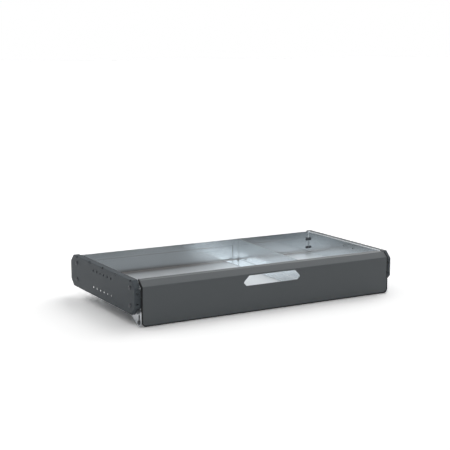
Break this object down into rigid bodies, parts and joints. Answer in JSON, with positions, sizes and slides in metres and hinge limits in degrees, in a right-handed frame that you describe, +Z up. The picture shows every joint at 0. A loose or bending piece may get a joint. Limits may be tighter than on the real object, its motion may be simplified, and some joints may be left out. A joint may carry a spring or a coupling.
{
  "type": "drop-front shelf",
  "caption": "Shallow sheet-metal shelf tray between end plates, with a divider and a front panel that lifts and folds down on slotted hinge brackets.",
  "frame": {"origin": "middle of the shelf's base: centre of its width and depth, level with the tips of the hinge brackets", "axes": "+X to the right seen from the front, +Y to the back, +Z up; the drop front faces -Y"},
  "size_m": [0.8632, 0.4588, 0.1255],
  "materials": {
    "end_plate_paint": "graphite powder coat, fine satin",
    "front_paint": "graphite powder coat, fine satin",
    "galvanised_sheet": "galvanised sheet, semi-gloss",
    "galvanised_plate": "galvanised plate, semi-gloss",
    "trim_rubber": "black, matt",
    "dark_screw": "dark zinc-nickel, satin",
    "zinc_fastener": "bright zinc",
    "bush_plastic": "black, matt"
  },
  "bodies": {
    "shelf": {"left_end_plate": "end_plate_paint", "right_end_plate": "end_plate_paint", "tray_pan": "galvanised_sheet", "left_tray_wall": "galvanised_sheet", "right_tray_wall": "galvanised_sheet", "divider": "galvanised_sheet", "left_hinge_bracket": "galvanised_plate", "right_hinge_bracket": "galvanised_plate", "left_rear_bracket": "galvanised_plate", "right_rear_bracket": "galvanised_plate", "left_front_lower_plate_screw": "dark_screw", "right_front_lower_plate_screw": "dark_screw", "left_front_upper_plate_screw": "dark_screw", "right_front_upper_plate_screw": "dark_screw", "left_rear_lower_plate_screw": "dark_screw", "right_rear_lower_plate_screw": "dark_screw", "left_rear_upper_plate_screw": "dark_screw", "right_rear_upper_plate_screw": "dark_screw", "left_front_lower_wall_screw": "dark_screw", "right_front_lower_wall_screw": "dark_screw", "left_front_upper_wall_screw": "dark_screw", "right_front_upper_wall_screw": "dark_screw", "left_rear_lower_wall_screw": "dark_screw", "right_rear_lower_wall_screw": "dark_screw", "left_rear_upper_wall_screw": "dark_screw", "right_rear_upper_wall_screw": "dark_screw", "divider_front_screw": "zinc_fastener", "divider_rear_screw": "zinc_fastener"},
    "hinge_pivots": {"left_pivot_screw": "dark_screw", "right_pivot_screw": "dark_screw", "left_pivot_bush": "bush_plastic", "right_pivot_bush": "bush_plastic", "left_pivot_nut": "zinc_fastener", "right_pivot_nut": "zinc_fastener"},
    "drop_front": {"front_panel": "front_paint", "front_trim": "trim_rubber", "left_hinge_ear": "front_paint", "right_hinge_ear": "front_paint"}
  },
  "joints": [
    {"name": "front_lift", "type": "slide", "parent": "shelf", "child": "hinge_pivots", "axis": [0, 0, 1], "range_m": [0, 0.018]},
    {"name": "front_drop", "type": "hinge", "parent": "hinge_pivots", "child": "drop_front", "pos_m": [0, -0.2176, 0.0125], "axis": [1, 0, 0], "range_deg": [0, 90]}
  ]
}
